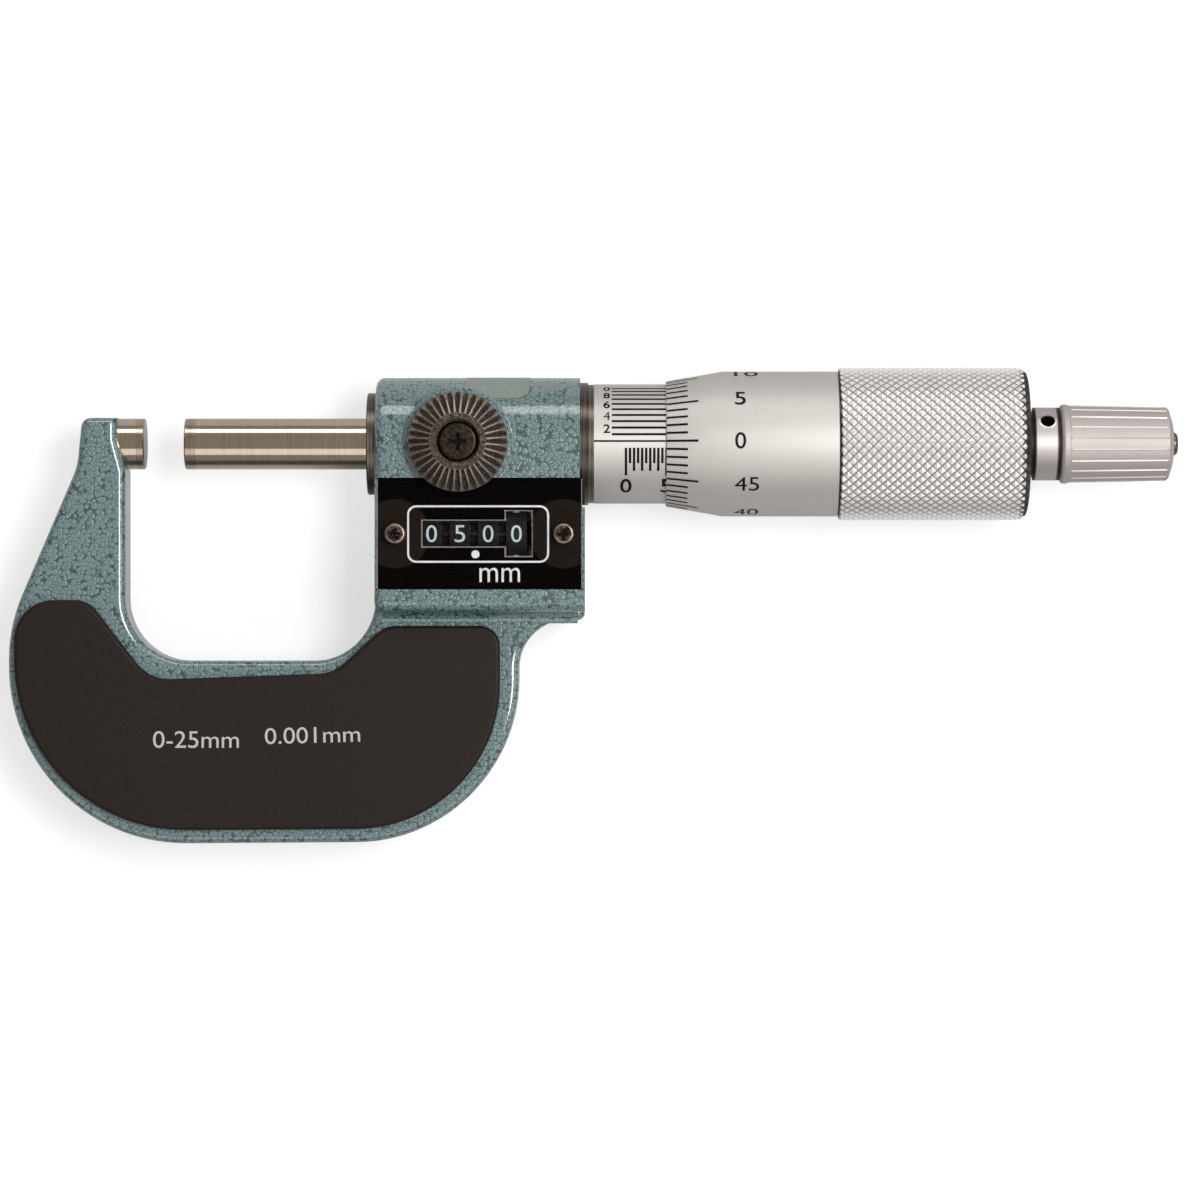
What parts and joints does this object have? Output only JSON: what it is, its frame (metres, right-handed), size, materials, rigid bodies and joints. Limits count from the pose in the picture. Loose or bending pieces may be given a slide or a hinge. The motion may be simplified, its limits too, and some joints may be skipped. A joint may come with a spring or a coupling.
{
  "type": "outside micrometer",
  "caption": "Outside micrometer with a C-shaped frame, a mechanical digit counter, a vernier sleeve, a spindle lock and a ratchet stop.",
  "frame": {"origin": "centre of the anvil's measuring face, on the spindle axis", "axes": "+X along the spindle axis from the anvil to the ratchet, +Y across the frame towards the spindle side, +Z out of the front with the counter; the instrument lies on its back"},
  "size_m": [0.1456, 0.0594, 0.0217],
  "materials": {
    "hammer_paint": "hammered gloss enamel",
    "grip_resin": "satin moulded",
    "satin_chrome": "satin",
    "ground_steel": "fine ground",
    "hard_tip": "lapped",
    "dark_steel": "machined",
    "knob_metal": "dark coating",
    "clear_plastic": "clear polished",
    "black_print": "gloss black",
    "wheel_plastic": "moulded",
    "gear_brass": "cut",
    "sheet_steel": "pressed",
    "cap_alloy": "bead blasted"
  },
  "bodies": {
    "frame": {"frame": "hammer_paint", "anvil": "ground_steel", "anvil_tip": "hard_tip", "front_grip_plate": "grip_resin", "rear_grip_plate": "grip_resin", "spindle_bush": "dark_steel", "dial_mask": "black_print", "window_plate": "clear_plastic", "cover_screws": "dark_steel", "counter_bracket": "sheet_steel", "bracket_screws": "sheet_steel", "wheel_shaft": "ground_steel", "transfer_shaft": "ground_steel", "idler_axle": "ground_steel", "inner_sleeve": "dark_steel", "sleeve_ring": "dark_steel", "sleeve": "satin_chrome", "adjusting_nut": "ground_steel", "lock_pad": "gear_brass"},
    "drive": {"drive_gear": "gear_brass", "drive_key": "ground_steel"},
    "spindle": {"spindle": "ground_steel", "spindle_tip": "hard_tip", "thimble": "satin_chrome", "ratchet_seat": "ground_steel", "click_pin": "ground_steel", "click_spring": "ground_steel", "ratchet_screw": "ground_steel"},
    "ratchet": {"ratchet_cap": "cap_alloy"},
    "lock": {"lock_knob": "knob_metal", "lock_screw": "knob_metal", "lock_stem": "dark_steel"},
    "idler": {"idler_gear": "gear_brass"},
    "tens": {"tens_wheel": "wheel_plastic"},
    "units": {"units_wheel": "wheel_plastic"},
    "tenths": {"tenths_wheel": "wheel_plastic"},
    "hundredths": {"hundredths_wheel": "wheel_plastic", "input_gear": "gear_brass"},
    "transfer_1": {"transfer_pinion_1": "gear_brass"},
    "transfer_2": {"transfer_pinion_2": "gear_brass"},
    "transfer_3": {"transfer_pinion_3": "gear_brass"}
  },
  "joints": [
    {"name": "spindle_turn", "type": "hinge", "parent": "frame", "child": "drive", "pos_m": [0.05, 0, 0], "axis": [1, 0, 0], "range_deg": [-3601, 14401]},
    {"name": "spindle_travel", "type": "slide", "parent": "drive", "child": "spindle", "axis": [1, 0, 0], "range_m": [-0.005, 0.02]},
    {"name": "ratchet_turn", "type": "hinge", "parent": "spindle", "child": "ratchet", "pos_m": [0.12, 0, 0], "axis": [1, 0, 0], "continuous": true},
    {"name": "lock_turn", "type": "hinge", "parent": "frame", "child": "lock", "pos_m": [0.0393, 0, 0.009], "axis": [0, 0, 1], "range_deg": [-60, 30]},
    {"name": "idler_turn", "type": "hinge", "parent": "frame", "child": "idler", "pos_m": [0.0486, -0.00817, -0.00083], "axis": [1, 0, 0], "range_deg": [-45001, 11251]},
    {"name": "hundredths_turn", "type": "hinge", "parent": "frame", "child": "hundredths", "pos_m": [0.0465, -0.0113, 0.00045], "axis": [1, 0, 0], "range_deg": [-18001, 72001]},
    {"name": "tenths_turn", "type": "hinge", "parent": "frame", "child": "tenths", "pos_m": [0.043, -0.0113, 0.00045], "axis": [1, 0, 0], "range_deg": [-1801, 7201]},
    {"name": "units_turn", "type": "hinge", "parent": "frame", "child": "units", "pos_m": [0.0395, -0.0113, 0.00045], "axis": [1, 0, 0], "range_deg": [-181, 721]},
    {"name": "tens_turn", "type": "hinge", "parent": "frame", "child": "tens", "pos_m": [0.036, -0.0113, 0.00045], "axis": [1, 0, 0], "range_deg": [-19, 73]},
    {"name": "transfer_3_turn", "type": "hinge", "parent": "frame", "child": "transfer_3", "pos_m": [0.0446, -0.0157, -0.00473], "axis": [1, 0, 0], "range_deg": [-24001, 6001]},
    {"name": "transfer_2_turn", "type": "hinge", "parent": "frame", "child": "transfer_2", "pos_m": [0.0411, -0.0157, -0.00473], "axis": [1, 0, 0], "range_deg": [-2401, 601]},
    {"name": "transfer_1_turn", "type": "hinge", "parent": "frame", "child": "transfer_1", "pos_m": [0.0376, -0.0157, -0.00473], "axis": [1, 0, 0], "range_deg": [-241, 61]}
  ],
  "couplings": [
    {"joint": "spindle_turn", "follows": "spindle_travel", "rad_per_m": 12566},
    {"joint": "idler_turn", "follows": "spindle_travel", "rad_per_m": -39270},
    {"joint": "hundredths_turn", "follows": "spindle_travel", "rad_per_m": 62832},
    {"joint": "tenths_turn", "follows": "spindle_travel", "rad_per_m": 6283.2},
    {"joint": "units_turn", "follows": "spindle_travel", "rad_per_m": 628.32},
    {"joint": "tens_turn", "follows": "spindle_travel", "rad_per_m": 62.832},
    {"joint": "transfer_3_turn", "follows": "spindle_travel", "rad_per_m": -20944},
    {"joint": "transfer_2_turn", "follows": "spindle_travel", "rad_per_m": -2094.4},
    {"joint": "transfer_1_turn", "follows": "spindle_travel", "rad_per_m": -209.44}
  ]
}
